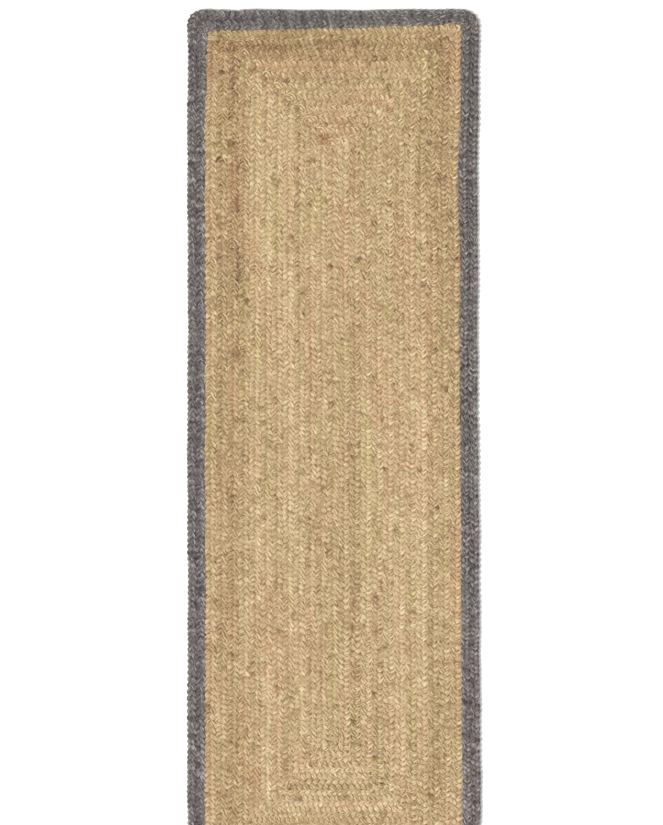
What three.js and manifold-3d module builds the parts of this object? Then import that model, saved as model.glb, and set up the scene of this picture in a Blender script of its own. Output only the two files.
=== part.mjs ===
// A runner rug coiled from flat three-strand jute braid, laced edge to edge on its underside.
// A straight centre strip is wrapped by rounds of natural braid, then by rounds of grey braid.
// Millimetres, +Z up, +Y along the runner. The origin is on the floor, under the middle of the rug.

import * as THREE from "three";
import { mergeVertices } from "three/addons/utils/BufferGeometryUtils.js";
import Module from "manifold-3d";

const wasm = await Module();
wasm.setup();

// Driving sizes
const RUG_LENGTH = 1800;
const THICKNESS = 10;
const NATURAL_BRAID_WIDTH = 22.8;
const GREY_BRAID_WIDTH = 19;
const NATURAL_ROUNDS = 11;
const GREY_ROUNDS = 2;
const SEAM_GAP = 0.3;
const EDGE_ROUND_WIDTH = 3.5;
const EDGE_ROUND_HEIGHT = 4;
const CORNER_MARGIN = 2.5;
const THREAD_WIDTH = 1.8;
const THREAD_HEIGHT = 0.9;
const THREAD_LIFT = 0.2;
const WHIPPING_LENGTH = 12;
const WHIPPING_WALL = 1;
const WHIPPING_MARGIN = 1.5;
const GREY_START = 20;
const GREY_TAIL_STEP = 45;
const CORNERS = 4;
const RADIUS_PER_ARC_STEP = 9;
const WELD_OVERLAP = 1;
const CUT_MARGIN = 0.5;

// Hand sewing leaves the top edge of the natural field a little out of square.
const FIELD_DROP_LEFT = 7.5;
const FIELD_RISE_RIGHT = 5.5;

// A field corner is as tight as its rounded edge allows.
const FIELD_CORNER_RADIUS = EDGE_ROUND_WIDTH + CORNER_MARGIN;
const LAST_SEAM = NATURAL_ROUNDS + GREY_ROUNDS;

// A whipping is square, so it lies past the rounded corner at the end of its braid.
const WHIPPING_SETBACK = FIELD_CORNER_RADIUS + WHIPPING_MARGIN;

const NATURAL_JUTE = { color: 0xc8ac7d, roughness: 0.85, metalness: 0 };
const GREY_JUTE = { color: 0x716c6e, roughness: 0.85, metalness: 0 };
const LACING_THREAD = { color: 0xb9a27a, roughness: 0.7, metalness: 0 };

// How far seam number j lies outside the centre strip. Seam 0 is the strip's own edge.
function reach(j) {
  const natural = Math.min(j, NATURAL_ROUNDS);
  const grey = Math.max(j - NATURAL_ROUNDS, 0);
  return natural * NATURAL_BRAID_WIDTH + grey * GREY_BRAID_WIDTH;
}

const HALF_STRIP_WIDTH = NATURAL_BRAID_WIDTH / 2;
const HALF_STRIP_LENGTH = RUG_LENGTH / 2 - reach(LAST_SEAM);

// The share of the field's slant that seam j takes up: all of it round the field,
// half of it one seam either side, and none beyond that.
function slantShare(j) {
  return Math.max(0, 1 - Math.abs(j - NATURAL_ROUNDS) / 2);
}

function halfWidth(j) {
  return HALF_STRIP_WIDTH + reach(j);
}

function bottomOf(j) {
  return -(HALF_STRIP_LENGTH + reach(j));
}

// The height up the rug of seam j's top side, at any place x across it.
function topOf(j, x) {
  const across = (x + halfWidth(j)) / (2 * halfWidth(j));
  const slant = THREE.MathUtils.lerp(-FIELD_DROP_LEFT, FIELD_RISE_RIGHT, across);
  return HALF_STRIP_LENGTH + reach(j) + slant * slantShare(j);
}

// Grey rounds turn about the field's corners, so their radius grows with each round.
function cornerRadius(j) {
  return j <= NATURAL_ROUNDS ? FIELD_CORNER_RADIUS : reach(j) - reach(NATURAL_ROUNDS);
}

// The four corners of seam j, moved outwards by a distance (inwards if it is negative).
function seamCorners(j, outwards) {
  const x = halfWidth(j) + outwards;
  const bottom = bottomOf(j) - outwards;
  return {
    topLeft: new THREE.Vector2(-x, topOf(j, -x) + outwards),
    topRight: new THREE.Vector2(x, topOf(j, x) + outwards),
    bottomRight: new THREE.Vector2(x, bottom),
    bottomLeft: new THREE.Vector2(-x, bottom),
  };
}

// Points of an arc that rounds a corner, on the way from one point to another. The arc is a
// seam's own, of that radius, moved outwards by a distance, so it keeps the seam's steps.
function roundedCorner(from, corner, to, seamRadius, outwards) {
  const radius = seamRadius + outwards;
  const back = from.clone().sub(corner).normalize();
  const ahead = to.clone().sub(corner).normalize();
  const halfAngle = Math.acos(back.dot(ahead)) / 2;
  const bisector = back.clone().add(ahead).normalize();
  const centre = corner.clone().addScaledVector(bisector, radius / Math.sin(halfAngle));
  const start = corner.clone().addScaledVector(back, radius / Math.tan(halfAngle)).sub(centre);
  const turn = (Math.PI - 2 * halfAngle) * Math.sign(ahead.cross(back));
  const steps = 2 + Math.ceil(seamRadius / RADIUS_PER_ARC_STEP);
  const points = [];
  for (let i = 0; i <= steps; i++) {
    points.push(start.clone().rotateAround(new THREE.Vector2(), (turn * i) / steps).add(centre));
  }
  return points;
}

// The whole line of seam j, from its top left corner round clockwise.
function seamLoop(j, outwards) {
  const radius = cornerRadius(j);
  const c = seamCorners(j, outwards);
  return [
    ...roundedCorner(c.bottomLeft, c.topLeft, c.topRight, radius, outwards),
    ...roundedCorner(c.topLeft, c.topRight, c.bottomRight, radius, outwards),
    ...roundedCorner(c.topRight, c.bottomRight, c.bottomLeft, radius, outwards),
    ...roundedCorner(c.bottomRight, c.bottomLeft, c.topLeft, radius, outwards),
  ];
}

// A braid laid along a flat outline: rounded over at its upper and lower edges.
function braidSolid(outline) {
  const geometry = new THREE.ExtrudeGeometry(new THREE.Shape(outline), {
    depth: THICKNESS - 2 * EDGE_ROUND_HEIGHT,
    bevelThickness: EDGE_ROUND_HEIGHT,
    bevelSize: EDGE_ROUND_WIDTH,
    bevelOffset: -EDGE_ROUND_WIDTH,
    bevelSegments: 2,
  });
  return geometry.translate(0, 0, EDGE_ROUND_HEIGHT);
}

function centreStripOutline() {
  return seamLoop(0, -SEAM_GAP / 2);
}

// Natural round k. It starts above the left column of the round inside it, runs clockwise,
// and its own left column ends level with its top, beside where it began.
function naturalRoundOutline(k) {
  const inset = SEAM_GAP / 2;
  const outer = seamCorners(k, -inset);
  const inner = seamCorners(k - 1, inset);
  const radius = FIELD_CORNER_RADIUS;
  const startX = -halfWidth(k - 1) + inset;
  const endX = -halfWidth(k - 1) - inset;
  const start = new THREE.Vector2(startX, topOf(k, startX) - inset);
  const end = new THREE.Vector2(endX, topOf(k, endX) - inset);
  const underStart = new THREE.Vector2(startX, topOf(k - 1, startX) + inset);
  return [
    start,
    ...roundedCorner(start, outer.topRight, outer.bottomRight, radius, -inset),
    ...roundedCorner(outer.topRight, outer.bottomRight, outer.bottomLeft, radius, -inset),
    ...roundedCorner(outer.bottomRight, outer.bottomLeft, outer.topLeft, radius, -inset),
    ...roundedCorner(outer.bottomLeft, outer.topLeft, end, radius, -inset),
    end,
    ...roundedCorner(end, inner.bottomLeft, inner.bottomRight, radius, inset),
    ...roundedCorner(inner.bottomLeft, inner.bottomRight, inner.topRight, radius, inset),
    ...roundedCorner(inner.bottomRight, inner.topRight, underStart, radius, inset),
    underStart,
  ];
}

// Where grey round g begins and ends on its top side. The joins are staggered.
function greyJoin(g) {
  return -halfWidth(NATURAL_ROUNDS) + GREY_START + (g - 1) * GREY_TAIL_STEP;
}

// Grey round g. It turns all four corners, and its two ends meet on the top side.
function greyRoundOutline(g) {
  const k = NATURAL_ROUNDS + g;
  const inset = SEAM_GAP / 2;
  const startX = greyJoin(g) + inset;
  const endX = greyJoin(g) - inset;
  const outer = seamLoop(k, -inset);
  const inner = seamLoop(k - 1, inset);
  const outerTopLeft = outer.slice(0, outer.length / CORNERS);
  const innerTopLeft = inner.slice(0, inner.length / CORNERS);
  return [
    new THREE.Vector2(startX, topOf(k, startX) - inset),
    ...outer.slice(outerTopLeft.length),
    ...outerTopLeft,
    new THREE.Vector2(endX, topOf(k, endX) - inset),
    new THREE.Vector2(endX, topOf(k - 1, endX) + inset),
    ...innerTopLeft.reverse(),
    ...inner.slice(innerTopLeft.length).reverse(),
    new THREE.Vector2(startX, topOf(k - 1, startX) + inset),
  ];
}

// The lacing thread of seam j, in the groove under it.
function lacingSolid(j) {
  const shape = new THREE.Shape(seamLoop(j, THREAD_WIDTH / 2));
  shape.holes.push(new THREE.Path(seamLoop(j, -THREAD_WIDTH / 2).reverse()));
  const geometry = new THREE.ExtrudeGeometry(shape, { depth: THREAD_HEIGHT, bevelEnabled: false });
  return geometry.translate(0, 0, THREAD_LIFT);
}

// A short bar with a braid's cross-section, taken in all round by a distance.
// It lies along +Y from y = 0, standing on the floor if nothing is taken in.
function braidBar(width, length, takenIn) {
  const halfWide = width / 2 - takenIn;
  const low = takenIn;
  const high = THICKNESS - takenIn;
  const easeWide = EDGE_ROUND_WIDTH * Math.SQRT1_2;
  const easeHigh = EDGE_ROUND_HEIGHT * Math.SQRT1_2;
  const section = new THREE.Shape();
  section.moveTo(-halfWide, low + easeHigh);
  section.lineTo(-halfWide + easeWide, low);
  section.lineTo(halfWide - easeWide, low);
  section.lineTo(halfWide, low + easeHigh);
  section.lineTo(halfWide, high - easeHigh);
  section.lineTo(halfWide - easeWide, high);
  section.lineTo(-halfWide + easeWide, high);
  section.lineTo(-halfWide, high - easeHigh);
  section.closePath();
  const geometry = new THREE.ExtrudeGeometry(section, { depth: length, bevelEnabled: false });
  return geometry.rotateX(Math.PI / 2).translate(0, length, 0);
}

function toSolid(geometry) {
  const bare = geometry.clone();
  bare.deleteAttribute("normal");
  bare.deleteAttribute("uv");
  const merged = mergeVertices(bare);
  const vertProperties = Float32Array.from(merged.attributes.position.array);
  const triVerts = Uint32Array.from(merged.index.array);
  return new wasm.Manifold(new wasm.Mesh({ numProp: 3, vertProperties, triVerts }));
}

function toGeometry(solid) {
  const mesh = solid.getMesh();
  const geometry = new THREE.BufferGeometry();
  geometry.setAttribute("position", new THREE.BufferAttribute(mesh.vertProperties, 3));
  geometry.setIndex(new THREE.BufferAttribute(mesh.triVerts, 1));
  return geometry;
}

// Each whipping's place: the middle of its near end, the width of braid it binds, and the
// direction that it lies in, as an angle from +Y.
function startWhippingPlace() {
  const y = bottomOf(0) + WHIPPING_SETBACK;
  return { x: 0, y, width: NATURAL_BRAID_WIDTH, angle: 0 };
}

function naturalEndWhippingPlace() {
  const x = -(halfWidth(NATURAL_ROUNDS) + halfWidth(NATURAL_ROUNDS - 1)) / 2;
  const y = topOf(NATURAL_ROUNDS, x) - WHIPPING_SETBACK - WHIPPING_LENGTH;
  return { x, y, width: NATURAL_BRAID_WIDTH, angle: 0 };
}

function greyEndWhippingPlace() {
  const x = greyJoin(GREY_ROUNDS) - WHIPPING_SETBACK;
  const middle = x - WHIPPING_LENGTH / 2;
  const low = topOf(LAST_SEAM - 1, middle);
  const high = topOf(LAST_SEAM, middle);
  return { x, y: (low + high) / 2, width: high - low, angle: Math.PI / 2 };
}

function placed(geometry, place) {
  return geometry.rotateZ(place.angle).translate(place.x, place.y, 0);
}

// A braid end drawn in where its whipping binds it.
function neckedBraid(geometry, place) {
  const hollow = braidBar(place.width - 2 * CUT_MARGIN, WHIPPING_LENGTH, -CUT_MARGIN);
  const neckWidth = place.width - 2 * SEAM_GAP;
  const neckLength = WHIPPING_LENGTH + 2 * WELD_OVERLAP;
  const neck = braidBar(neckWidth, neckLength, WHIPPING_WALL + SEAM_GAP);
  neck.translate(0, -WELD_OVERLAP, 0);
  const cut = toSolid(geometry).subtract(toSolid(placed(hollow, place)));
  return toGeometry(cut.add(toSolid(placed(neck, place))));
}

// The sleeve of wound thread that fills the neck.
function whippingSleeve(place) {
  const width = place.width - 2 * SEAM_GAP;
  const length = WHIPPING_LENGTH - 2 * SEAM_GAP;
  const outside = braidBar(width, length, 0).translate(0, SEAM_GAP, 0);
  const inside = braidBar(width, WHIPPING_LENGTH, WHIPPING_WALL);
  return toGeometry(toSolid(placed(outside, place)).subtract(toSolid(placed(inside, place))));
}

const rug = new THREE.Group();

function addPiece(name, geometry, finish) {
  const mesh = new THREE.Mesh(geometry, new THREE.MeshStandardMaterial(finish));
  mesh.name = name;
  rug.add(mesh);
}

function numbered(name, number) {
  return name + "_" + String(number).padStart(2, "0");
}

const strip = braidSolid(centreStripOutline());
addPiece("centre_strip", neckedBraid(strip, startWhippingPlace()), NATURAL_JUTE);

for (let k = 1; k <= NATURAL_ROUNDS; k++) {
  const round = braidSolid(naturalRoundOutline(k));
  const isLast = k === NATURAL_ROUNDS;
  const solid = isLast ? neckedBraid(round, naturalEndWhippingPlace()) : round;
  addPiece(numbered("natural_round", k), solid, NATURAL_JUTE);
}

for (let g = 1; g <= GREY_ROUNDS; g++) {
  const round = braidSolid(greyRoundOutline(g));
  const isLast = g === GREY_ROUNDS;
  const solid = isLast ? neckedBraid(round, greyEndWhippingPlace()) : round;
  addPiece(numbered("grey_round", g), solid, GREY_JUTE);
}

for (let j = 0; j < LAST_SEAM; j++) {
  addPiece(numbered("lacing_thread", j + 1), lacingSolid(j), LACING_THREAD);
}

addPiece("start_whipping", whippingSleeve(startWhippingPlace()), NATURAL_JUTE);
addPiece("natural_end_whipping", whippingSleeve(naturalEndWhippingPlace()), NATURAL_JUTE);
addPiece("grey_end_whipping", whippingSleeve(greyEndWhippingPlace()), GREY_JUTE);

export default rug;
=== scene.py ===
# %% [markdown]
# A braided jute runner, made round its imported frame
#
# The rug is one long flat braid of three jute strands. It is coiled into a rectangle and laced
# edge to edge on the underside, and two rounds of grey braid make its border. The frame holds a
# plain solid for each round. Here each round becomes its three plaited strands, and the lacing
# and the whippings become real thread. The frame gives the place of every round, seam and
# whipping. Only what the frame can't know is given here: the colours, the darker places and how
# far the sewing strays.

# %% The imported frame
import math

import bmesh
import bpy
import numpy as np
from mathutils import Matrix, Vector


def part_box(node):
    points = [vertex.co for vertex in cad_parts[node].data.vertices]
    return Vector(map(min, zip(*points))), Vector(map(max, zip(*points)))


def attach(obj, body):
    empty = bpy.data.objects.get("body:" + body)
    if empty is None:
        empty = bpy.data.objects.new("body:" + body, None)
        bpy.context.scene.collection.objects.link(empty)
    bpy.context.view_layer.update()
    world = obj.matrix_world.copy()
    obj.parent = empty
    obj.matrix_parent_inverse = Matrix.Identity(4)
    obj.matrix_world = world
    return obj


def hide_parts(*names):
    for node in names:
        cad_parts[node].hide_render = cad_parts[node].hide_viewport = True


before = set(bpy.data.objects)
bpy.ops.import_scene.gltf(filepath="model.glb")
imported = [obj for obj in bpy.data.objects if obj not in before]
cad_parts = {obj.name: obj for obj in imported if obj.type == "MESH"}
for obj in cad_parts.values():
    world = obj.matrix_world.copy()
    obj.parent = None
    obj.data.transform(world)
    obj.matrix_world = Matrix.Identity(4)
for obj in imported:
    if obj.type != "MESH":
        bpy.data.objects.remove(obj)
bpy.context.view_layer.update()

# %% [markdown]
# Camera and light
#
# A rug is shown from straight above. A short lens would lean the edges of the braid outwards, and
# an orthographic camera can't be refitted for other views, so a long lens hangs far above it.
# Jute looks dull under hard light. A sky of even white and one very wide sun keep the shadows
# between the strands soft, and still give every lobe of the braid a bright and a dark side.

# %% Camera
VIEW_HEIGHT = 1.697
VIEW_CENTRE = Vector((-0.0032, 0.072))
LENS = 100
SENSOR = 36

camera_data = bpy.data.cameras.new("rug_camera")
camera_data.lens = LENS
camera_data.sensor_width = SENSOR
camera_data.clip_end = 50
camera = bpy.data.objects.new("rug_camera", camera_data)
camera.location = (VIEW_CENTRE.x, VIEW_CENTRE.y, VIEW_HEIGHT * LENS / SENSOR)
bpy.context.scene.collection.objects.link(camera)
bpy.context.scene.camera = camera
print("camera height:", round(camera.location.z, 3))

# %% Sky, sun and floor
SKY_STRENGTH = 0.73
SUN_STRENGTH = 3.25
SUN_SPREAD = math.radians(20)
SUN_TILT = math.radians(41)
SUN_TURN = math.radians(118)
FLOOR_SIZE = 80
FLOOR_WHITE = (0.93, 0.93, 0.93, 1)
FLOOR_ROUGHNESS = 0.9

scene = bpy.context.scene
scene.view_settings.view_transform = "Standard"
scene.world = bpy.data.worlds.new("studio_sky")
scene.world.use_nodes = True
sky = scene.world.node_tree.nodes["Background"]
sky.inputs["Color"].default_value = (1, 1, 1, 1)
sky.inputs["Strength"].default_value = SKY_STRENGTH

sun_data = bpy.data.lights.new("wide_sun", "SUN")
sun_data.energy = SUN_STRENGTH
sun_data.angle = SUN_SPREAD
sun = bpy.data.objects.new("wide_sun", sun_data)
sun.rotation_euler = (-SUN_TILT, 0, SUN_TURN)
scene.collection.objects.link(sun)


def lay_floor():
    floor_mesh = bpy.data.meshes.new("studio_floor")
    sheet = bmesh.new()
    bmesh.ops.create_grid(sheet, x_segments=1, y_segments=1, size=FLOOR_SIZE / 2)
    sheet.to_mesh(floor_mesh)
    sheet.free()
    floor = bpy.data.objects.new("studio_floor", floor_mesh)
    scene.collection.objects.link(floor)
    paint = bpy.data.materials.new("floor_white")
    paint.use_nodes = True
    shader = paint.node_tree.nodes["Principled BSDF"]
    shader.inputs["Base Color"].default_value = FLOOR_WHITE
    shader.inputs["Roughness"].default_value = FLOOR_ROUGHNESS
    floor_mesh.materials.append(paint)
    return floor


lay_floor()
print("floor side:", FLOOR_SIZE)

# %% [markdown]
# The seams
#
# Every round lies between two seams: the one inside it and the one outside it. A seam is a
# rectangle with rounded corners, so it is known from its half width, its bottom and its top edge.
# The top edge of the natural field is a little out of square, so the top is kept as a line.
# All of it is read from the frame's solids, which stop half a gap short of the seam.

# %% Seams read from the frame
ROUNDS = 11
GREY_ROUNDS = 2
LAST_ROUND = ROUNDS + GREY_ROUNDS
HALF_GAP = 0.00015
FIELD_RADIUS = 0.005

ROUND_NODES = ["centre_strip"]
ROUND_NODES += [f"natural_round_{k:02d}" for k in range(1, ROUNDS + 1)]
ROUND_NODES += [f"grey_round_{g:02d}" for g in range(1, GREY_ROUNDS + 1)]


class Seam:
    """The rectangle round the outside of one round of braid."""

    def __init__(self, node):
        low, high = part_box(node)
        outline = [v.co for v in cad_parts[node].data.vertices]
        left = max((p for p in outline if p.x < 0), key=lambda p: p.y)
        right = max((p for p in outline if p.x > 0), key=lambda p: p.y)
        self.half = high.x + HALF_GAP
        self.bottom = low.y - HALF_GAP
        self.slope = (right.y - left.y) / (right.x - left.x)
        self.middle_top = left.y - left.x * self.slope + HALF_GAP
        self.radius = FIELD_RADIUS

    def top(self, x):
        return self.middle_top + self.slope * x


seams = [Seam(node) for node in ROUND_NODES]
field_seam = seams[ROUNDS]
for seam in seams[ROUNDS + 1 :]:
    seam.radius = seam.half - field_seam.half
STRIP_HALF = seams[0].half
BRAID_WIDTH = seams[1].half - seams[0].half
GREY_WIDTH = seams[-1].half - seams[-2].half
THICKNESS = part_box("centre_strip")[1].z
print("braid width:", round(BRAID_WIDTH, 4), "grey:", round(GREY_WIDTH, 4), "thick:", THICKNESS)

# %% [markdown]
# The lanes that a braid runs in
#
# A braid could be swept along one centre line, but then its square corners would gape, because
# a real maker squeezes the inner strand and stretches the outer one to fill the corner. So a lane
# is a list of cuts straight across the braid, each with a point on its inner seam and a point on
# its outer seam. Anything laid in the lane is placed between those two points. At a corner the
# cuts fan out from the middle of the inner seam's arc. The plait keeps its pitch nearer to the
# outer edge, and bunches up at the inner one, so the lane is paced out on that side.
#
# The coil is a true rectangular spiral: a round begins on top of the left column of the round
# inside it, and its own left column ends beside that beginning.

# %% Cuts across a lane
FAN_CUTS = 9
PACED_SHARE = 0.72
STRETCH_STEP = 0.002
FIRST_RAY = {"top_left": 180, "top_right": 90, "bottom_right": 0, "bottom_left": -90}


def corner_of(seam, which, x=None):
    x_side = -seam.half if "left" in which else seam.half
    x_side = x_side if x is None else x
    y = seam.top(x_side) if "top" in which else seam.bottom
    return np.array((x_side, y))


def fan(which, middle, inner_radius, corner, outer_radius):
    """Cuts that sweep round one corner, clockwise as seen from above."""
    reach = np.abs(corner - middle)
    arc_middle = reach - outer_radius
    cuts = []
    for turned in np.linspace(0, math.pi / 2, FAN_CUTS):
        angle = math.radians(FIRST_RAY[which]) - turned
        ray = np.array((math.cos(angle), math.sin(angle)))
        lean = np.maximum(np.abs(ray), 1e-9)
        length = (reach / lean).min()
        if (length * lean > arc_middle + 1e-9).all():
            along = lean @ arc_middle
            length = along + math.sqrt(along**2 - arc_middle @ arc_middle + outer_radius**2)
        cuts.append((middle + inner_radius * ray, middle + length * ray))
    return cuts


def fan_between(inner, outer, which):
    inwards = np.array((1 if "left" in which else -1, -1 if "top" in which else 1))
    middle = corner_of(inner, which) + inwards * inner.radius
    return fan(which, middle, inner.radius, corner_of(outer, which), outer.radius)


class Lane:
    """The room between two seams that one round of braid fills, as cuts across it."""

    def __init__(self, cuts, marks=()):
        self.inner = np.array([cut[0] for cut in cuts])
        self.outer = np.array([cut[1] for cut in cuts])
        paced = self.inner + (self.outer - self.inner) * PACED_SHARE
        steps = np.linalg.norm(np.diff(paced, axis=0), axis=1)
        self.at = np.concatenate(([0], np.cumsum(steps)))
        self.length = self.at[-1]
        widths = np.linalg.norm(self.outer - self.inner, axis=1)
        self.widening = widths / widths[-1]
        self.sides = [(self.at[a], self.at[b]) for a, b in marks]

    def stretch(self, distance, across):
        """How much longer than its pace the lane is at a place, as on the outside of a bend."""
        ahead = self.place(distance + STRETCH_STEP, across)
        behind = self.place(distance - STRETCH_STEP, across)
        near_end = np.minimum(distance, self.length - distance) < STRETCH_STEP
        stretched = np.linalg.norm(ahead - behind, axis=1) / (2 * STRETCH_STEP)
        return np.where(near_end, 1, stretched)

    def fullness(self, distance, across):
        """How full a strand must be to fill the lane, more on the outside of a square corner."""
        wider = np.interp(distance, self.at, self.widening) - 1
        return self.stretch(distance, across) * (1 + wider * np.clip(across + 0.5, 0, 1))

    def place(self, distance, across):
        """Points at a distance along the lane. Across runs from -1, inner seam, to 1, outer."""
        share = (across + 1) / 2
        ends = []
        for seam_line in (self.inner, self.outer):
            ends.append(np.stack([np.interp(distance, self.at, c) for c in seam_line.T], 1))
        return ends[0] + (ends[1] - ends[0]) * share[:, None]


# %% The lane of each round
EDGE_INSET = 0.0017
SIDES = ("top", "right", "bottom", "left")
CORNERS = ("top_right", "bottom_right", "bottom_left")


def strip_lane():
    seam = seams[0]
    foot = (np.array((seam.half, seam.bottom)), np.array((-seam.half, seam.bottom)))
    head = (np.array((seam.half, seam.top(0))), np.array((-seam.half, seam.top(0))))
    return Lane([foot, head])


def natural_lane(k):
    """Natural round k. It turns in above the left column of the round inside it."""
    inner, outer = seams[k - 1], seams[k]
    inside_x = STRIP_HALF if k == 1 else -seams[k - 2].half
    pivot = np.array((inside_x, inner.top(inside_x)))
    turn_corner = corner_of(outer, "top_left", -inner.half)
    cuts = fan("top_left", pivot, 0, turn_corner, outer.radius)
    marks = []
    for which in CORNERS:
        marks.append((len(cuts) - 1, len(cuts)))
        cuts += fan_between(inner, outer, which)
    marks.append((len(cuts) - 1, len(cuts)))
    inner_end = np.array((-inner.half, outer.top(-inner.half)))
    outer_end = np.array((-outer.half, outer.top(-outer.half)))
    cuts.append((inner_end, outer_end))
    return Lane(cuts, marks)


def join_of(node):
    """Where a grey round's two ends meet on its top side, at the fullest height of its solid."""
    fullest = [v.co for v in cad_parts[node].data.vertices]
    fullest = [p for p in fullest if abs(p.z - THICKNESS / 2) < THICKNESS / 8]
    past_corner = 2 * FIELD_RADIUS - field_seam.half
    above = [p.x for p in fullest if p.x > past_corner and p.y > field_seam.top(0)]
    return min(above) + HALF_GAP


def grey_lane(g):
    """Grey round g. The last one has no neighbour to press against, so it keeps further in."""
    k = ROUNDS + g
    inner, outer = seams[k - 1], seams[k]
    join = join_of(ROUND_NODES[k])
    end = (np.array((join, inner.top(join))), np.array((join, outer.top(join))))
    cuts = [end]
    marks = []
    for which in CORNERS + ("top_left",):
        marks.append((len(cuts) - 1, len(cuts)))
        cuts += fan_between(inner, outer, which)
    cuts.append(end)
    lane = Lane(cuts, marks)
    if g == GREY_ROUNDS:
        lane.outer += (lane.inner - lane.outer) * EDGE_INSET / GREY_WIDTH
    return lane


lanes = [strip_lane()]
lanes += [natural_lane(k) for k in range(1, ROUNDS + 1)]
lanes += [grey_lane(g) for g in range(1, GREY_ROUNDS + 1)]
natural_length = sum(lane.length for lane in lanes[: ROUNDS + 1])
grey_length = sum(lane.length for lane in lanes[ROUNDS + 1 :])
joins = [round(float(lane.inner[0, 0]), 4) for lane in lanes[ROUNDS + 1 :]]
print("natural braid:", round(natural_length, 2), "m, grey:", round(grey_length, 2), "m")
print("grey rounds join at:", joins)

# %% [markdown]
# Hand work
#
# No side of a hand-sewn rug is quite straight. Every piece could be given its own wobble, but
# then neighbours would cut into each other. Instead one slow drift depends only on the place, so
# strands, seams and threads that lie together stray together. The right side bows, the natural
# field is pulled in near the top, and the top left corner is fuller than the others.

# %% The drift of the whole rug
TURN = 2 * math.pi
FULL_CORNER = np.array((-0.289, 0.889))
FULL_CORNER_REACH = 0.03
FULL_CORNER_PUSH = 0.004
BOW_MEAN = 0.0005
BOW_DEPTH = 0.0026
BOW_LENGTH = 1.96
BOW_INMOST = 0.26
LEFT_PULL = 0.0045
LEFT_PULL_FROM = 0.65
LEFT_PULL_EASE = 0.2
RIGHT_PULL = 0.0058
RIGHT_PULL_MIDDLE = 0.55
RIGHT_PULL_REACH = 0.1
RIGHT_EDGE_SHARE = 0.3
# Each wave of the sewing: how far it strays, its length in x and in y, and where it starts.
SIDEWAYS_WAVES = (
    (0.0006, 0.83, 0.61, 0.13),
    (0.0005, 0.41, 0.173, 0.55),
    (0.0003, -0.19, 0.071, 0.31),
)
LENGTHWAYS_WAVES = (
    (0.0007, 0.37, 0.9, 0.71),
    (0.0005, 0.141, -0.47, 0.22),
    (0.0003, 0.067, 0.23, 0.87),
)


def drifted(flat):
    """Points on the floor plane, moved as far as the sewing has strayed there."""
    x, y = flat[:, 0], flat[:, 1]
    to_right = np.clip(x / seams[-1].half, 0, 1)
    dx = to_right * (BOW_MEAN - BOW_DEPTH * np.cos(TURN * (y - BOW_INMOST) / BOW_LENGTH))
    halves = (0, field_seam.half, seams[-1].half)
    on_left = np.interp(-x, halves, (0, 1, 0))
    dx += LEFT_PULL * on_left * np.clip((y - LEFT_PULL_FROM) / LEFT_PULL_EASE, 0, 1)
    on_right = np.interp(x, halves, (0, 1, RIGHT_EDGE_SHARE))
    dx -= RIGHT_PULL * on_right * np.exp(-(((y - RIGHT_PULL_MIDDLE) / RIGHT_PULL_REACH) ** 2))
    for stray, long_x, long_y, start in SIDEWAYS_WAVES:
        dx += stray * np.sin(TURN * (x / long_x + y / long_y + start))
    dy = np.zeros_like(y)
    for stray, long_x, long_y, start in LENGTHWAYS_WAVES:
        dy += stray * np.sin(TURN * (x / long_x + y / long_y + start))
    from_corner = np.linalg.norm(flat - FULL_CORNER, axis=1)
    pushed = FULL_CORNER_PUSH * np.exp(-((from_corner / FULL_CORNER_REACH) ** 2))
    return flat + np.stack((dx - pushed, dy + pushed), 1)


class Wander:
    """A smooth random line along a braid: a new value every step, and even change between."""

    def __init__(self, rng, length, step, low, high, power=1):
        self.knots = np.arange(-step, length + 2 * step, step)
        self.values = low + (high - low) * rng.uniform(0, 1, len(self.knots)) ** power

    def __call__(self, travelled):
        return np.interp(travelled, self.knots, self.values)


right_edge = seams[-1].half
bow_ends = [[right_edge, BOW_INMOST - BOW_LENGTH / 2], [right_edge, BOW_INMOST]]
print("right side strays to:", drifted(np.array(bow_ends))[:, 0].round(4))

# %% [markdown]
# From a curve to a strand
#
# A strand is a soft bundle of two yarns side by side that follows a path. Blender sweeps a
# section along a curve by itself, keeps it level with the Z-up twist, and closes its ends, so no
# face is placed by hand. The swept curve is turned into a mesh, because only a mesh can carry a
# shade on every point, which is how one strand can run from pale straw to bark brown. The curve's
# own map from 0 to 1 is stretched to metres, so that fibres keep their real length and thickness.

# %% Sweeping a section along a path
MERGE_DISTANCE = 1e-6


def section(name, wide, high, sides, notch=None):
    """A closed cross-section, of one yarn, or of two side by side with a notch between them.

    It starts underneath, so the seam of its map is out of sight.
    """
    curve = bpy.data.curves.new(name, "CURVE")
    curve.dimensions = "2D"
    outline = curve.splines.new("POLY")
    outline.points.add(sides - 1)
    outline.use_cyclic_u = True
    for i, point in enumerate(outline.points):
        angle = -math.pi / 2 - TURN * i / sides
        x, y = math.cos(angle), math.sin(angle)
        if notch is not None:
            from_yarn = 2 * abs(x) - 1
            y = math.copysign(max(math.sqrt(max(1 - from_yarn**2, 0)), notch * abs(y)), y)
        point.co = (wide / 2 * x, high / 2 * y, 0, 1)
    holder = bpy.data.objects.new(name, curve)
    holder["girth"] = math.pi * (wide + high) / 2
    holder["sides"] = sides
    return holder


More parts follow.
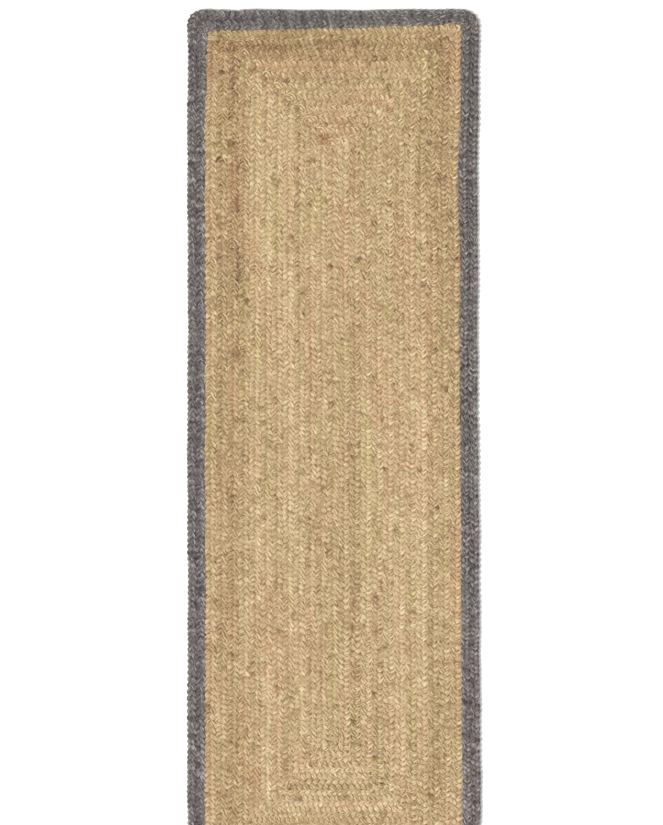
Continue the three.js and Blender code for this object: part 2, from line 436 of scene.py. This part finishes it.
def sweep(name, path, profile, radii=None, closed=False):
    """A mesh piece swept along a path, with a map in metres named braid."""
    curve = bpy.data.curves.new(name, "CURVE")
    curve.dimensions = "3D"
    curve.twist_mode = "Z_UP"
    curve.bevel_mode = "OBJECT"
    curve.bevel_object = profile
    curve.use_fill_caps = not closed
    line = curve.splines.new("POLY")
    line.points.add(len(path) - 1)
    line.points.foreach_set("co", np.column_stack((path, np.ones(len(path)))).ravel())
    if radii is not None:
        line.points.foreach_set("radius", radii)
    line.use_cyclic_u = closed
    guide = bpy.data.objects.new(name, curve)
    scene.collection.objects.link(guide)
    depsgraph = bpy.context.evaluated_depsgraph_get()
    mesh = bpy.data.meshes.new_from_object(guide.evaluated_get(depsgraph))
    bpy.data.objects.remove(guide)
    bpy.data.curves.remove(curve)
    stretch_map(mesh, path, profile["girth"], closed)
    return mesh


def stretch_map(mesh, path, girth, closed):
    track = np.vstack((path, path[:1])) if closed else path
    steps = np.linalg.norm(np.diff(track, axis=0), axis=1)
    travelled = np.concatenate(([0], np.cumsum(steps)))
    layer = mesh.uv_layers[0]
    layer.name = "braid"
    uv = np.empty(len(layer.data) * 2, dtype=np.float32)
    layer.data.foreach_get("uv", uv)
    along = np.interp(uv[0::2] * (len(track) - 1), np.arange(len(track)), travelled)
    uv[1::2] = uv[1::2] * girth
    uv[0::2] = along
    layer.data.foreach_set("uv", uv)


def shade_points(mesh, name, values, sides):
    """Writes one value per path point to the ring of points made there, end rings first."""
    per_point = np.concatenate(
        (np.repeat(values[-1], sides), np.repeat(values[0], sides), np.repeat(values, sides))
    )
    attribute = mesh.attributes.new(name, "FLOAT", "POINT")
    attribute.data.foreach_set("value", per_point.astype(np.float32))


def close_and_place(name, mesh, finish):
    """Closes the ends, turns the faces outwards and puts the piece in the scene."""
    shell = bmesh.new()
    shell.from_mesh(mesh)
    bmesh.ops.remove_doubles(shell, verts=shell.verts, dist=MERGE_DISTANCE)
    bmesh.ops.recalc_face_normals(shell, faces=shell.faces)
    for face in shell.faces:
        face.smooth = True
    shell.to_mesh(mesh)
    shell.free()
    mesh.name = name
    mesh.materials.clear()
    mesh.materials.append(finish)
    piece = bpy.data.objects.new(name, mesh)
    scene.collection.objects.link(piece)
    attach(piece, "root")
    return piece


print("points closer than this are merged:", MERGE_DISTANCE)

# %% [markdown]
# Jute, natural and dyed
#
# Jute is a bundle of coarse, slightly shiny bast fibres. Each hank has its own colour, from pale
# straw to bark brown, and no dye hides that fully. A picture of a weave would not follow the
# strands round the corners, so the fibres are long thin streaks of noise, drawn in the strand's
# own map and turned a little, because the bundle is twisted. The shade on every point picks a
# colour from a ramp. A second value leans it to one of two tints: natural jute to pink or to
# green, and grey jute to violet or to green. The streaks also raise the surface and change how
# dull it is.

# %% The jute finish
FIBRE_LENGTH = 0.014
FIBRE_WIDTH = 0.0007
BUNDLE_LENGTH = 0.016
BUNDLE_WIDTH = 0.0022
BUNDLE_SHARE = 1.25
FIBRE_TWIST = math.radians(11)
FIBRE_DETAIL = 3
BUNDLE_DETAIL = 1
STREAK_ROUGHNESS = 0.6
BUNDLE_RELIEF = 0.8
RELIEF_STRENGTH = 0.8
RELIEF_HEIGHT = 0.0015
DULLNESS = 0.85
FIBRE_GLOSS = 0.35
SHEEN_ROUGHNESS = 0.4


def dye(red, green, blue):
    """A colour as a dyer's card gives it, from 0 to 255, made linear by the sRGB curve."""
    parts = []
    for part in (red, green, blue):
        share = part / 255
        parts.append(share / 12.92 if share <= 0.04045 else ((share + 0.055) / 1.055) ** 2.4)
    return (*parts, 1.0)


def streaks(tree, uv, length, width, detail):
    """Noise drawn out along the strand, in patches of this length and width in metres."""
    lay = tree.nodes.new("ShaderNodeMapping")
    lay.vector_type = "TEXTURE"
    lay.inputs["Rotation"].default_value = (0, 0, FIBRE_TWIST)
    lay.inputs["Scale"].default_value = (length, width, 1)
    noise = tree.nodes.new("ShaderNodeTexNoise")
    noise.noise_dimensions = "2D"
    noise.inputs["Scale"].default_value = 1
    noise.inputs["Detail"].default_value = detail
    noise.inputs["Roughness"].default_value = STREAK_ROUGHNESS
    tree.links.new(uv.outputs["UV"], lay.inputs["Vector"])
    tree.links.new(lay.outputs["Vector"], noise.inputs["Vector"])
    return noise.outputs["Fac"]


def maths(tree, operation, first, second, third=None):
    node = tree.nodes.new("ShaderNodeMath")
    node.operation = operation
    for socket, value in zip(node.inputs, (first, second, third)):
        if isinstance(value, bpy.types.NodeSocket):
            tree.links.new(value, socket)
        elif value is not None:
            socket.default_value = value
    return node.outputs[0]


def reading(tree, name):
    node = tree.nodes.new("ShaderNodeAttribute")
    node.attribute_name = name
    return node.outputs["Fac"]


def tinted(tree, fac, colour, tint):
    """The colour, leaning to a tint by multiplying, as far as fac says."""
    mix = tree.nodes.new("ShaderNodeMix")
    mix.data_type = "RGBA"
    mix.blend_type = "MULTIPLY"
    mix.clamp_factor = True
    mix.inputs["B"].default_value = tint
    tree.links.new(fac, mix.inputs["Factor"])
    tree.links.new(colour, mix.inputs["A"])
    return mix.outputs["Result"]


def jute_finish(name, shades, tints, contrast, sheen):
    finish = bpy.data.materials.new(name)
    finish.use_nodes = True
    tree = finish.node_tree
    shader = tree.nodes["Principled BSDF"]
    uv = tree.nodes.new("ShaderNodeUVMap")
    uv.uv_map = "braid"
    fibres = streaks(tree, uv, FIBRE_LENGTH, FIBRE_WIDTH, FIBRE_DETAIL)
    bundles = streaks(tree, uv, BUNDLE_LENGTH, BUNDLE_WIDTH, BUNDLE_DETAIL)
    streaky = maths(tree, "MULTIPLY_ADD", fibres, contrast, -0.5 * contrast)
    streaky = maths(tree, "MULTIPLY_ADD", bundles, BUNDLE_SHARE * contrast, streaky)
    streaky = maths(tree, "ADD", streaky, -0.5 * BUNDLE_SHARE * contrast)
    shade = maths(tree, "ADD", reading(tree, "shade"), streaky)
    ramp = tree.nodes.new("ShaderNodeValToRGB")
    stops = ramp.color_ramp.elements
    stops[0].position, stops[0].color = shades[0]
    stops[1].position, stops[1].color = shades[-1]
    for position, colour in shades[1:-1]:
        stops.new(position).color = colour
    tree.links.new(shade, ramp.inputs["Fac"])
    lean = reading(tree, "lean")
    colour = tinted(tree, lean, ramp.outputs["Color"], tints[0])
    colour = tinted(tree, maths(tree, "MULTIPLY", lean, -1.0), colour, tints[1])
    tree.links.new(colour, shader.inputs["Base Color"])
    relief = maths(tree, "MULTIPLY_ADD", bundles, BUNDLE_RELIEF, fibres)
    bump = tree.nodes.new("ShaderNodeBump")
    bump.inputs["Strength"].default_value = RELIEF_STRENGTH
    bump.inputs["Distance"].default_value = RELIEF_HEIGHT
    tree.links.new(relief, bump.inputs["Height"])
    tree.links.new(bump.outputs["Normal"], shader.inputs["Normal"])
    dull = maths(tree, "MULTIPLY_ADD", fibres, -FIBRE_GLOSS, DULLNESS)
    tree.links.new(dull, shader.inputs["Roughness"])
    shader.inputs["Sheen Weight"].default_value = sheen
    shader.inputs["Sheen Roughness"].default_value = SHEEN_ROUGHNESS
    return finish


# %% Natural, grey and thread
NATURAL_CONTRAST = 0.8
GREY_CONTRAST = 1.55
THREAD_CONTRAST = 0.25
BRAID_SHEEN = 0.15
THREAD_SHEEN = 0.1
natural_shades = [
    (0.0, dye(84, 60, 36)),
    (0.25, dye(142, 112, 74)),
    (0.5, dye(187, 161, 121)),
    (0.75, dye(215, 194, 156)),
    (1.0, dye(240, 226, 198)),
]
natural_tints = (dye(255, 236, 226), dye(244, 252, 222))
natural_finish = jute_finish(
    "natural_jute", natural_shades, natural_tints, NATURAL_CONTRAST, BRAID_SHEEN
)
grey_shades = [
    (0.0, dye(49, 44, 41)),
    (0.5, dye(113, 106, 101)),
    (1.0, dye(185, 178, 170)),
]
grey_tints = (dye(240, 230, 255), dye(236, 250, 240))
grey_finish = jute_finish("grey_jute", grey_shades, grey_tints, GREY_CONTRAST, BRAID_SHEEN)
thread_finish = jute_finish(
    "lacing_thread", natural_shades, natural_tints, THREAD_CONTRAST, THREAD_SHEEN
)
print("finishes:", [m.name for m in (natural_finish, grey_finish, thread_finish)])

# %% [markdown]
# Hanks of jute
#
# A maker splices hank after hank into the braid, and each hank has its own colour. On this rug
# most are straw, some are tan, and a few courses near the border are brown. One random colour per
# strand would lose that, so every side of every round is given a hank by name, and the shade
# changes slowly from one to the next. On top of that come paler and darker lengths that the
# three strands share, each lobe differs a little, and now and then a bit of bark is left in.
# Along some seams between courses, where the braid first turns, and in a few spots, the jute is
# darker and pinker. Painted shade darkens the grey braid, and leans it violet, where its two
# rounds meet.

# %% The hank on each side of each round
HANK_SHADE = {
    "bleached": 0.55,
    "pale": 0.53,
    "cream": 0.505,
    "straw": 0.48,
    "wheat": 0.455,
    "tan": 0.43,
    "russet": 0.405,
    "brown": 0.38,
    "bark": 0.345,
}
TOP_HANKS = "cream wheat wheat cream wheat wheat russet tan brown bark brown".split()
RIGHT_HANKS = "straw tan cream pale pale pale bleached bleached wheat tan straw".split()
BOTTOM_HANKS = "straw straw pale straw straw pale straw straw tan straw straw".split()
LEFT_HANKS = "straw straw straw pale straw straw pale tan brown russet wheat".split()
STRIP_SHADE = 0.49
GREY_SHADE = {"top": 0.385, "right": 0.44, "bottom": 0.44, "left": 0.44}
# Painted shade along the seam between the two grey rounds: how much it darkens, where across it
# begins and how soon it is full.
GREY_SEAM_PAINTED_SHADE = 0.15
GREY_SEAM_FROM = 0.4
GREY_SEAM_EASE = 0.3


def side_shades(number):
    """The shade of each side of a round, in the order that the braid runs them."""
    if number == 0:
        return [STRIP_SHADE]
    if number > ROUNDS:
        return [GREY_SHADE[side] for side in SIDES]
    hanks = (TOP_HANKS, RIGHT_HANKS, BOTTOM_HANKS, LEFT_HANKS)
    return [HANK_SHADE[side[number - 1]] for side in hanks]


def round_shade(lane, distance, shades):
    if not lane.sides:
        return np.full_like(distance, shades[0])
    middles = [(low + high) / 2 for low, high in lane.sides]
    return np.interp(distance, middles, shades)


for number in (0, 1, ROUNDS, ROUNDS + 1):
    print(ROUND_NODES[number], side_shades(number))

# %% Darker places, and painted shade along the grey seam
# Each darker place: its middle x and y, its half length in x and in y, and how much it darkens.
DARKER_PLACES = (
    (-0.195, 0.499, 0.0045, 0.030, 0.27),
    (-0.195, 0.363, 0.0045, 0.038, 0.32),
    (-0.196, 0.577, 0.005, 0.022, 0.12),
    (-0.194, 0.220, 0.005, 0.030, 0.10),
    (-0.199, 0.190, 0.022, 0.018, 0.09),
    (-0.212, 0.720, 0.010, 0.090, 0.07),
    (-0.252, 0.800, 0.012, 0.055, 0.13),
    (-0.155, 0.755, 0.040, 0.040, 0.035),
    (-0.150, 0.820, 0.070, 0.011, 0.14),
    (0.018, 0.835, 0.060, 0.005, 0.10),
    (0.215, 0.825, 0.035, 0.030, 0.06),
    (-0.018, 0.634, 0.015, 0.008, 0.24),
    (0.229, 0.640, 0.004, 0.045, 0.16),
    (0.240, 0.369, 0.006, 0.008, 0.20),
)


def darkening_from_places(flat):
    """How much darker the jute is at each point, from the darker places."""
    darker = np.zeros(len(flat))
    for x, y, half_x, half_y, depth in DARKER_PLACES:
        off = ((flat[:, 0] - x) / half_x) ** 2 + ((flat[:, 1] - y) / half_y) ** 2
        darker += depth * np.exp(-off)
    return darker


def grey_seam_painted_shade(number, across):
    """Painted shade: darkens the grey braid towards the seam between its two rounds."""
    if number <= ROUNDS:
        return np.zeros_like(across)
    towards_seam = across if number < LAST_ROUND else -across
    return GREY_SEAM_PAINTED_SHADE * np.clip((towards_seam - GREY_SEAM_FROM) / GREY_SEAM_EASE, 0, 1)


print("dark_places:", len(DARKER_PLACES))

# %% [markdown]
# The plait
#
# Three strands swing from side to side, a third of a turn apart, and rise and dip twice in each
# swing, so that each one passes over, under, over. A sine would run too flat across the middle:
# a tight strand runs nearly straight from edge to edge and turns quickly there, so the swing is
# a zigzag with rounded turns. The height is a sine of twice the angle, because each outer strand
# in turn is laid over the middle one. It rises a little early, so that a strand already lies on
# top at the edge, where it presses against the next round and closes the seam. Seen from above,
# the lobes make the row of chevrons that the eye reads as a braid. The pull of the hand varies,
# so the plait drifts a little in pitch, in width and in how full a strand is. Near a whipping
# the whole braid is drawn in. No strand is let down further than its own thickness allows,
# because the rug lies on the floor.

# %% How one strand varies
PLAIT_PITCH = 0.0333
LOBE = PLAIT_PITCH / 2
PITCH_STRAY = 0.3
PULL_LENGTH = 0.9
RIPPLES_PER_PULL = 3
RIPPLE_SHARE = 0.6
RIPPLE_START = 0.2
# How a thing wanders: the step along the braid in metres, and its lowest and highest value.
SHARED_LENGTHS = (0.45, -0.035, 0.035)
SHARED_PATCHES = (0.07, -0.03, 0.03)
SHARED_LEAN = (0.12, -0.42, 0.42)
OWN_SWING = (LOBE, 0.95, 1.05)
OWN_FULLNESS = (LOBE, 0.96, 1.08)
OWN_LENGTHS = (0.1, -0.015, 0.015)
OWN_LOBES = (LOBE / 2, -0.03, 0.03)
OWN_LEAN = (LOBE, -0.3, 0.3)
BARK_SPOTS = (0.006, 0, 0.32)
BARK_RARENESS = 50


class Strand:
    """One strand of a braid, and how it varies over its whole length."""

    def __init__(self, seed, hank_seed, length):
        hank = np.random.default_rng(hank_seed)
        self.lengths = Wander(hank, length, *SHARED_LENGTHS)
        self.patches = Wander(hank, length, *SHARED_PATCHES)
        self.slow_lean = Wander(hank, length, *SHARED_LEAN)
        rng = np.random.default_rng(seed)
        self.swing = Wander(rng, length, *OWN_SWING)
        self.fullness = Wander(rng, length, *OWN_FULLNESS)
        self.own = Wander(rng, length, *OWN_LENGTHS)
        self.lobes = Wander(rng, length, *OWN_LOBES)
        self.bark = Wander(rng, length, *BARK_SPOTS, power=BARK_RARENESS)
        self.quick_lean = Wander(rng, length, *OWN_LEAN)

    def shade(self, travelled):
        shared = self.lengths(travelled) + self.patches(travelled)
        return shared + self.own(travelled) + self.lobes(travelled) - self.bark(travelled)

    def lean(self, travelled):
        return self.slow_lean(travelled) + self.quick_lean(travelled)


def plait_turns(travelled, length, pitch):
    """How many turns the plait has made. The maker's pull makes it run ahead or behind."""
    share = travelled / length
    waves = max(round(length / PULL_LENGTH), 1)
    pull = np.sin(TURN * waves * share)
    pull += RIPPLE_SHARE * np.sin(TURN * (RIPPLES_PER_PULL * waves * share + RIPPLE_START))
    return travelled / pitch + PITCH_STRAY * pull


print("plait pitch:", PLAIT_PITCH, "lobe:", LOBE)

# %% Where a whipping binds the braid
PINCH = 0.82
PINCH_EASE = 0.012
LOOK_STEP = 0.0005


def nearest(lane, point):
    """How far along a lane the place beside a point is."""
    distance = np.arange(0, lane.length, LOOK_STEP)
    line = lane.place(distance, np.zeros_like(distance))
    gap = np.linalg.norm(line - np.array((point.x, point.y)), axis=1)
    return distance[gap.argmin()]


def whipping_span(lane, node):
    low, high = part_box(node)
    centre = (low + high) / 2
    half = min(high.x - low.x, high.y - low.y) / 2
    middle = nearest(lane, centre)
    return (middle - half, middle + half)


WHIPPED = {
    0: "start_whipping",
    ROUNDS: "natural_end_whipping",
    LAST_ROUND: "grey_end_whipping",
}
spans = {number: whipping_span(lanes[number], node) for number, node in WHIPPED.items()}
for number, (low, high) in spans.items():
    print(WHIPPED[number], "binds from", round(low, 4), "to", round(high, 4))


def drawn_in(number, distance):
    """1 along the free braid, and less where a whipping binds it."""
    if number not in spans:
        return np.ones_like(distance)
    low, high = spans[number]
    outside = np.maximum(np.maximum(low - distance, distance - high), 0)
    return PINCH + (1 - PINCH) * np.clip(outside / PINCH_EASE, 0, 1)


# %% Laying one strand of one round
POINTS_PER_PITCH = 13
SWING_SHARE = 0.77
TURN_SHARPNESS = 0.95
EARLY_RISE = math.radians(32)
RISE = 0.0023
LOBE_SHOULDERS = 0.8
MIDDLE_LIFT = 0.0002
MIDDLE_HEIGHT = THICKNESS / 2 + MIDDLE_LIFT
STRAND_HEIGHT = 0.0054
STRAND_SHARE = 0.9
STRAND_SIDES = 14
YARN_NOTCH = 0.25
BEND_FULLNESS = (0.85, 1.5)
# How far the darker places and the painted seam shade lean natural jute pink and grey jute
# violet.
DARKENING_LEAN = 3
LETTERS = "abc"


def zigzag(angle):
    """A swing that runs almost straight across and turns quickly at each edge."""
    return np.arcsin(TURN_SHARPNESS * np.sin(angle)) / math.asin(TURN_SHARPNESS)


def squared(wave, power):
    """A wave with fuller shoulders."""
    return np.sign(wave) * np.abs(wave) ** power


def lay_strand(number, letter, strand, start, length, pitch, profile, finish):
    """One strand of one round, plaited with its two fellows."""
    lane = lanes[number]
    points = round(lane.length / pitch * POINTS_PER_PITCH) + 1
    distance = np.linspace(0, lane.length, points)
    travelled = start + distance
    turns = plait_turns(travelled, length, pitch) + LETTERS.index(letter) / 3
    pinch = drawn_in(number, distance)
    across = SWING_SHARE * pinch * strand.swing(travelled) * zigzag(TURN * turns)
    rise = RISE * pinch * squared(-np.sin(2 * TURN * turns + EARLY_RISE), LOBE_SHOULDERS)
    flat = lane.place(distance, across)
    bend = np.clip(lane.fullness(distance, across), *BEND_FULLNESS)
    radii = pinch * bend * strand.fullness(travelled)
    height = np.maximum(MIDDLE_HEIGHT + rise, STRAND_HEIGHT / 2 * radii)
    path = np.column_stack((drifted(flat), height))
    name = f"{ROUND_NODES[number]}_strand_{letter}"
    mesh = sweep(name, path, profile, radii=radii)
    # The darker places, and the painted shade along the grey seam, darken the shade and lean the
    # colour.
    darkening_and_painted_shade = darkening_from_places(flat) + grey_seam_painted_shade(number, across)
    shade = round_shade(lane, distance, side_shades(number)) + strand.shade(travelled) - darkening_and_painted_shade
    lean = strand.lean(travelled) + DARKENING_LEAN * darkening_and_painted_shade
    shade_points(mesh, "shade", shade, profile["sides"])
    shade_points(mesh, "lean", lean, profile["sides"])
    piece = close_and_place(name, mesh, finish)
    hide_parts(ROUND_NODES[number])
    return piece


def strand_section(name, braid_width):
    return section(
        name, braid_width / 2 * STRAND_SHARE, STRAND_HEIGHT, STRAND_SIDES, YARN_NOTCH
    )


natural_profile = strand_section("natural_strand_section", BRAID_WIDTH)
grey_profile = strand_section("grey_strand_section", GREY_WIDTH)
print("girths:", round(natural_profile["girth"], 4), round(grey_profile["girth"], 4))

# %% The natural field
NATURAL_HANK_SEED = 51
triangles = 0
for seed, letter in enumerate(LETTERS, start=1):
    strand = Strand(seed, NATURAL_HANK_SEED, natural_length)
    start = 0
    for number in range(ROUNDS + 1):
        piece = lay_strand(
            number, letter, strand, start, natural_length, PLAIT_PITCH,
            natural_profile, natural_finish,
        )
        start += lanes[number].length
        triangles += 2 * len(piece.data.polygons)
print("natural triangles:", triangles)

# %% [markdown]
# The border
#
# The two grey rounds are not coiled like the field. Each is a ring of its own that starts and
# ends at the same place on the top side, so its plait must come round to where it began. The
# pitch is changed a very little, until a whole number of turns fills the ring.

# %% Two grey rings
GREY_HANK_SEED = 60
GREY_STRAND_SEED = 10
for g in range(1, GREY_ROUNDS + 1):
    number = ROUNDS + g
    length = lanes[number].length
    pitch = length / round(length / PLAIT_PITCH)
    for seed, letter in enumerate(LETTERS):
        strand = Strand(GREY_STRAND_SEED * g + seed, GREY_HANK_SEED + g, length)
        piece = lay_strand(
            number, letter, strand, 0, length, pitch, grey_profile, grey_finish
        )
        triangles += 2 * len(piece.data.polygons)
print("all braid triangles:", triangles)

# %% [markdown]
# The lacing
#
# Nothing but thread holds the rounds together. On the real rug it zigzags from braid to braid on
# the underside, and from above it is only felt as the dark line between two courses. The stitch
# is swept along each seam like a strand. It swings to both sides and lifts into the braid at the
# end of each swing, where a needle would have gone in.

# %% One zigzag thread along each seam
STITCH = 0.0111
STITCH_SWING = 0.0035
STITCH_LOW = 0.0009
STITCH_HIGH = 0.0022
THREAD_THICKNESS = 0.0013
THREAD_SIDES = 5
thread_profile = section("lacing_section", THREAD_THICKNESS, THREAD_THICKNESS, THREAD_SIDES)


def seam_line(seam):
    """The whole line of a seam, clockwise from its top left corner."""
    arcs = []
    for which in ("top_left",) + CORNERS:
        inwards = np.array((1 if "left" in which else -1, -1 if "top" in which else 1))
        middle = corner_of(seam, which) + inwards * seam.radius
        angles = math.radians(FIRST_RAY[which]) - np.linspace(0, math.pi / 2, FAN_CUTS)
        arcs.append(middle + seam.radius * np.stack((np.cos(angles), np.sin(angles)), 1))
    return np.vstack(arcs)


def stitched(seam):
    """The path of the zigzag thread under one seam, four points to a stitch."""
    corners = seam_line(seam)
    corners = np.vstack((corners, corners[:1]))
    at = np.concatenate(([0], np.cumsum(np.linalg.norm(np.diff(corners, axis=0), axis=1))))
    count = 4 * round(at[-1] / STITCH)
    distance = np.arange(count) * at[-1] / count
    line = np.stack([np.interp(distance, at, c) for c in corners.T], 1)
    ahead = np.roll(line, -1, axis=0) - np.roll(line, 1, axis=0)
    ahead /= np.linalg.norm(ahead, axis=1)[:, None]
    outwards = np.stack((-ahead[:, 1], ahead[:, 0]), 1)
    quarter = np.arange(count) * math.pi / 2
    flat = drifted(line + outwards * (STITCH_SWING * np.sin(quarter))[:, None])
    height = STITCH_LOW + (STITCH_HIGH - STITCH_LOW) * np.abs(np.sin(quarter))
    return np.column_stack((flat, height))


def shade_evenly(mesh, shade, lean):
    for name, value in (("shade", shade), ("lean", lean)):
        attribute = mesh.attributes.new(name, "FLOAT", "POINT")
        values = np.full(len(mesh.vertices), value, dtype=np.float32)
        attribute.data.foreach_set("value", values)


THREAD_SHADE = 0.6
for number, seam in enumerate(seams[:-1], start=1):
    name = f"laced_seam_{number:02d}"
    mesh = sweep(name, stitched(seam), thread_profile, closed=True)
    shade_evenly(mesh, THREAD_SHADE, 0)
    laced = close_and_place(name, mesh, thread_finish)
    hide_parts(f"lacing_thread_{number:02d}")
    triangles += 2 * len(laced.data.polygons)
print("triangles with the lacing:", triangles)

# %% [markdown]
# The whippings
#
# A cut braid would come undone, so its end is bound with a few turns of its own jute before it is
# tucked in. A ring with stripes painted on it would look like tape. A thread that really winds
# round the braid catches the light turn by turn, and it is one more swept path.

# %% A wound thread at each free end
WINDING_THICKNESS = 0.0021
WINDING_POINTS = 20
WINDING_TURNS = 5
WINDING_HIGH = 0.0041
WINDING_ACROSS = 0.93
WINDING_SIDES = 6
SIDE_SHOULDERS = 0.5
TOP_SHOULDERS = 0.6
winding_profile = section(
    "winding_section", WINDING_THICKNESS, WINDING_THICKNESS, WINDING_SIDES
)


def wind(number, finish, shade):
    low, high = spans[number]
    edge = WINDING_THICKNESS / 2
    turned = np.arange(WINDING_TURNS * WINDING_POINTS + 1) / WINDING_POINTS
    distance = np.interp(turned, (0, WINDING_TURNS), (low + edge, high - edge))
    across = WINDING_ACROSS * squared(np.cos(TURN * turned), SIDE_SHOULDERS)
    height = MIDDLE_HEIGHT + WINDING_HIGH * squared(np.sin(TURN * turned), TOP_SHOULDERS)
    path = np.column_stack((drifted(lanes[number].place(distance, across)), height))
    name = f"wound_{WHIPPED[number]}"
    mesh = sweep(name, path, winding_profile)
    shade_evenly(mesh, shade, 0)
    wound = close_and_place(name, mesh, finish)
    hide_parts(WHIPPED[number])
    return wound


START_WOUND_SHADE = 0.5
NATURAL_WOUND_SHADE = 0.47
GREY_WOUND_SHADE = 0.37
wound = [
    wind(0, natural_finish, START_WOUND_SHADE),
    wind(ROUNDS, natural_finish, NATURAL_WOUND_SHADE),
    wind(LAST_ROUND, grey_finish, GREY_WOUND_SHADE),
]
print("whippings:", [piece.name for piece in wound])

# %% [markdown]
# Loose fibres
#
# Jute sheds. Short ends of fibre stand up from the braid everywhere, and a few stick out past
# the edge. Hair particles would not survive an export, so each fibre is a very thin swept
# arc with only a few faces, and all the fibres of one colour are one piece.

# %% One short end of fibre
FIBRE_THICKNESS = 0.00022
FIBRE_SIDES = 3
FIBRE_POINTS = 6
FIBRE_CURL = 1.6
LIFT_ARC = 0.75 * math.pi
LOOSE_LENGTHS = (0.008, 0.022)
LOOSE_LIFTS = (0.001, 0.003)
LOOSE_SHADES = (0.35, 0.9)
LOOSE_ACROSS = 0.8
ROOT_DEPTH = 0.0009
fibre_profile = section("fibre_section", FIBRE_THICKNESS, FIBRE_THICKNESS, FIBRE_SIDES)


def fibre_path(rng, root, length, lift):
    """An arc that starts in the braid, stands up a little and bends back down."""
    share = np.linspace(0, 1, FIBRE_POINTS)
    heading = rng.uniform(0, TURN) + rng.uniform(-FIBRE_CURL, FIBRE_CURL) * share
    steps = np.stack((np.cos(heading), np.sin(heading)), 1) * length / FIBRE_POINTS
    flat = root[:2] + np.cumsum(steps, axis=0)
    return np.column_stack((flat, root[2] + lift * np.sin(LIFT_ARC * share)))


def loose_fibres(name, rng, numbers, count, finish, strays=()):
    reach = np.array([lanes[number].length for number in numbers])
    fibres = bmesh.new()
    for made in range(count + len(strays)):
        lane = lanes[rng.choice(numbers, p=reach / reach.sum())]
        along = rng.uniform(0, lane.length, 1)
        place = drifted(lane.place(along, rng.uniform(-LOOSE_ACROSS, LOOSE_ACROSS, 1)))[0]
        root = (*place, THICKNESS - ROOT_DEPTH)
        path = fibre_path(rng, root, rng.uniform(*LOOSE_LENGTHS), rng.uniform(*LOOSE_LIFTS))
        if made >= count:
            path = strays[made - count]
        mesh = sweep("fibre", path, fibre_profile)
        shade_evenly(mesh, rng.uniform(*LOOSE_SHADES), 0)
        fibres.from_mesh(mesh)
        bpy.data.meshes.remove(mesh)
    mesh = bpy.data.meshes.new(name)
    fibres.to_mesh(mesh)
    fibres.free()
    piece = close_and_place(name, mesh, finish)
    print(name, "triangles:", len(mesh.polygons) * 2)
    return piece


# %% One fibre past the edge, and the fibres of each colour
STRAY_X = -0.18
STRAY_BEND = 0.001
STRAY_ROOT = 0.004
STRAY_LENGTH = 0.011
STRAY_RISE = 0.002
NATURAL_FIBRES = 700
GREY_FIBRES = 180
FIBRE_SEED = 5
share = np.linspace(0, 1, FIBRE_POINTS)
stray_x = STRAY_X + STRAY_BEND * share**2
stray_y = seams[-1].top(STRAY_X) - STRAY_ROOT + STRAY_LENGTH * share
stray = np.column_stack((stray_x, stray_y, THICKNESS / 2 + STRAY_RISE * share))
fibre_rng = np.random.default_rng(FIBRE_SEED)
natural_rounds = range(ROUNDS + 1)
grey_rounds = range(ROUNDS + 1, LAST_ROUND + 1)
loose_fibres(
    "loose_natural_fibres", fibre_rng, natural_rounds, NATURAL_FIBRES,
    natural_finish,
)
loose_fibres(
    "loose_grey_fibres", fibre_rng, grey_rounds, GREY_FIBRES,
    grey_finish, [stray],
)
